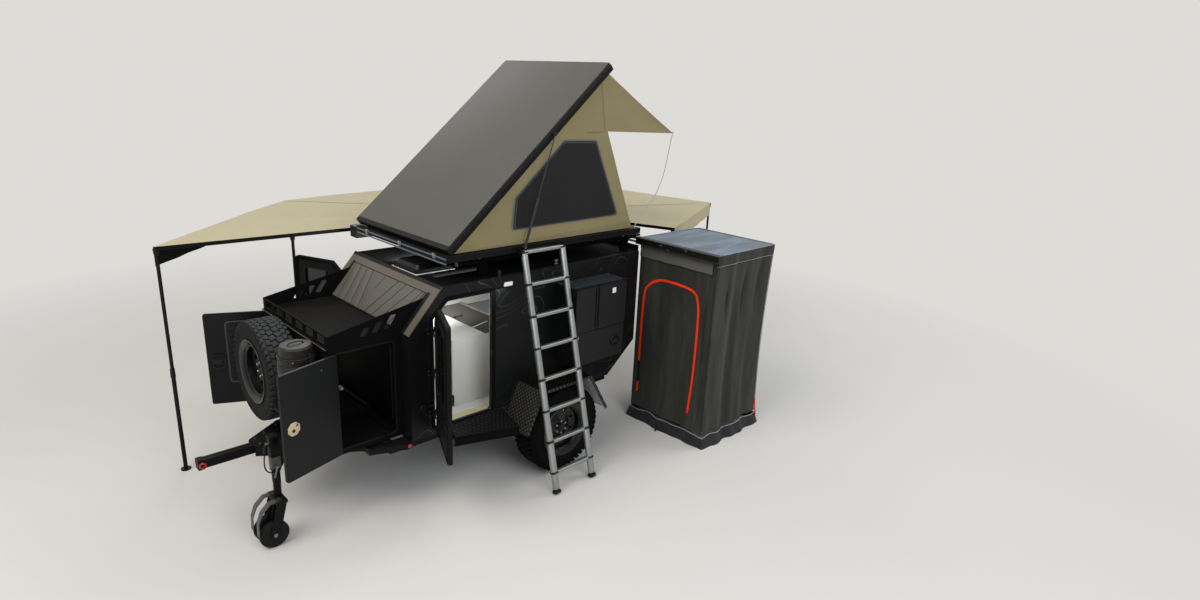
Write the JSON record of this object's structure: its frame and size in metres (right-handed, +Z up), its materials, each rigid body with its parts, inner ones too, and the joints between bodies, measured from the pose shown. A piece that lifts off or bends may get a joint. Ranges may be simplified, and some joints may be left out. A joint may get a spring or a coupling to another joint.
{
  "type": "teardrop trailer",
  "caption": "Off-road teardrop camping trailer parked on its jack, with an open wedge roof tent, ladder, wrap-round awning, shower cubicle, nose box and open doors.",
  "frame": {"origin": "on the ground under the middle of the whole envelope, awning and shower included", "axes": "+X forward along the drawbar, +Y to the left side, +Z up"},
  "size_m": [6.313, 4.6471, 3.5734],
  "materials": {
    "frame_black": "satin",
    "coupling_black": "satin",
    "jack": "satin",
    "rubber": "matte",
    "tyre": "matte",
    "rim_black": "gloss",
    "body_black": "satin",
    "trim_grey": "matte",
    "interior_white": "matte",
    "glass_dark": "gloss",
    "bottle_grey": "satin",
    "canvas_khaki": "matte",
    "lid_grey": "satin",
    "rod_steel": "gloss",
    "ladder_alu": "satin",
    "shower_grey": "matte",
    "rack_black": "matte"
  },
  "bodies": {
    "trailer": {"chassis_frame": "frame_black", "trailing_arms": "frame_black", "bottle_shelf": "frame_black", "spare_carrier": "frame_black", "tow_coupling": "coupling_black", "jack_leg": "jack", "air_springs": "rubber", "shock_absorbers": "rubber", "spare_tyre": "tyre", "spare_rim": "rim_black", "fenders": "body_black", "sills": "body_black", "cabin_floor": "body_black", "side_wall_left": "body_black", "side_wall_right": "body_black", "roof_panel": "body_black", "front_wall": "body_black", "rear_wall": "body_black", "nose_shell": "body_black", "deck_tray": "body_black", "side_box": "body_black", "roof_vent": "body_black", "ribbed_panel": "trim_grey", "trim_band": "trim_grey", "bunk": "interior_white", "gas_bottle": "bottle_grey", "roof_rack": "rack_black", "awning_case": "rack_black", "awning_arms": "rack_black", "awning_poles": "rack_black", "tent_base": "rack_black", "strut_feet": "rack_black", "shower_case": "rack_black", "tent_canvas": "canvas_khaki", "awning_fabric": "canvas_khaki", "canopy_rods": "rod_steel", "shower_tent": "shower_grey"},
    "wheel_left": {"tyre_left": "tyre", "rim_left": "rim_black"},
    "wheel_right": {"tyre_right": "tyre", "rim_right": "rim_black"},
    "jack_wheel_pair": {"jack_wheels": "rubber"},
    "nose_leaf_left": {"nose_door_left": "body_black"},
    "nose_leaf_right": {"nose_door_right": "body_black"},
    "cabin_leaf_left": {"cabin_door_left": "body_black", "door_glass_left": "glass_dark"},
    "cabin_leaf_right": {"cabin_door_right": "body_black", "door_glass_right": "glass_dark"},
    "hatch": {"rear_hatch": "body_black"},
    "box_leaf_front": {"box_door_front": "body_black"},
    "box_leaf_rear": {"box_door_rear": "body_black"},
    "box_leaf_low": {"box_door_low": "body_black"},
    "lid": {"tent_lid": "lid_grey"},
    "canopy": {"tent_canopy": "canvas_khaki"},
    "strut_left_tube": {"strut_tube_left": "rack_black"},
    "strut_right_tube": {"strut_tube_right": "rack_black"},
    "strut_left_rod": {"strut_rod_left": "rod_steel"},
    "strut_right_rod": {"strut_rod_right": "rod_steel"},
    "ladder_body": {"ladder": "ladder_alu"},
    "slide_tray": {"nose_slide": "body_black"}
  },
  "joints": [
    {"name": "wheel_spin_left", "type": "hinge", "parent": "trailer", "child": "wheel_left", "pos_m": [0.445, 1.583, 0.4], "axis": [0, 1, 0], "continuous": true},
    {"name": "wheel_spin_right", "type": "hinge", "parent": "trailer", "child": "wheel_right", "pos_m": [0.445, -0.247, 0.4], "axis": [0, 1, 0], "continuous": true},
    {"name": "jack_wheel_spin", "type": "hinge", "parent": "trailer", "child": "jack_wheel_pair", "pos_m": [2.815, 1.088, 0.105], "axis": [0, 1, 0], "continuous": true},
    {"name": "nose_door_left_swing", "type": "hinge", "parent": "trailer", "child": "nose_leaf_left", "pos_m": [2.338, 1.286, 1.05], "axis": [0, 0, 1], "range_deg": [0, 162.9]},
    {"name": "nose_door_right_swing", "type": "hinge", "parent": "trailer", "child": "nose_leaf_right", "pos_m": [2.338, 0.05, 1.05], "axis": [0, 0, 1], "range_deg": [-155.3, 0]},
    {"name": "cabin_door_left_swing", "type": "hinge", "parent": "trailer", "child": "cabin_leaf_left", "pos_m": [1.595, 1.416, 1.15], "axis": [0, 0, 1], "range_deg": [0, 114]},
    {"name": "cabin_door_right_swing", "type": "hinge", "parent": "trailer", "child": "cabin_leaf_right", "pos_m": [1.595, -0.08, 1.15], "axis": [0, 0, 1], "range_deg": [-113, 0]},
    {"name": "rear_hatch_swing", "type": "hinge", "parent": "trailer", "child": "hatch", "pos_m": [-0.807, 0.668, 1.784], "axis": [0, 1, 0], "range_deg": [0, 85]},
    {"name": "box_door_front_swing", "type": "hinge", "parent": "trailer", "child": "box_leaf_front", "pos_m": [0.299, 1.636, 1.455], "axis": [0, 0, 1], "range_deg": [-88, 0]},
    {"name": "box_door_rear_swing", "type": "hinge", "parent": "trailer", "child": "box_leaf_rear", "pos_m": [-0.317, 1.636, 1.455], "axis": [0, 0, 1], "range_deg": [0, 95]},
    {"name": "box_door_low_swing", "type": "hinge", "parent": "trailer", "child": "box_leaf_low", "pos_m": [0.299, 1.636, 1.095], "axis": [0, 0, 1], "range_deg": [-88, 0]},
    {"name": "tent_lid_tilt", "type": "hinge", "parent": "trailer", "child": "lid", "pos_m": [1.405, 0.668, 2.08], "axis": [0, 1, 0], "range_deg": [-40.5, 0], "deforming": ["tent_canvas", "canopy_rods"]},
    {"name": "canopy_fold", "type": "hinge", "parent": "lid", "child": "canopy", "pos_m": [-0.17498, 0.668, 3.5091], "axis": [0, 1, 0], "range_deg": [-110, 0], "deforming": ["tent_canopy"]},
    {"name": "strut_left_swing", "type": "hinge", "parent": "trailer", "child": "strut_left_tube", "pos_m": [0.719, 1.42, 2.056], "axis": [0, 1, 0], "range_deg": [-70, 0]},
    {"name": "strut_left_travel", "type": "slide", "parent": "strut_left_tube", "child": "strut_left_rod", "axis": [-0.3085, 0, 0.9512], "range_m": [-0.325, 0]},
    {"name": "strut_right_swing", "type": "hinge", "parent": "trailer", "child": "strut_right_tube", "pos_m": [0.719, -0.084, 2.056], "axis": [0, 1, 0], "range_deg": [-70, 0]},
    {"name": "strut_right_travel", "type": "slide", "parent": "strut_right_tube", "child": "strut_right_rod", "axis": [-0.3085, 0, 0.9512], "range_m": [-0.325, 0]},
    {"name": "ladder_swing", "type": "hinge", "parent": "trailer", "child": "ladder_body", "pos_m": [0.56, 1.468, 2.04], "axis": [1, 0, 0], "range_deg": [0, 70]},
    {"name": "nose_slide_out", "type": "slide", "parent": "trailer", "child": "slide_tray", "axis": [0, -1, 0], "range_m": [-0.5, 0]}
  ],
  "couplings": [
    {"joint": "canopy_fold", "follows": "tent_lid_tilt", "ratio": 2.6829},
    {"joint": "strut_left_swing", "follows": "tent_lid_tilt", "ratio": 1.6349},
    {"joint": "strut_left_travel", "follows": "tent_lid_tilt", "m_per_rad": 0.45172},
    {"joint": "strut_right_swing", "follows": "tent_lid_tilt", "ratio": 1.6349},
    {"joint": "strut_right_travel", "follows": "tent_lid_tilt", "m_per_rad": 0.45172}
  ]
}
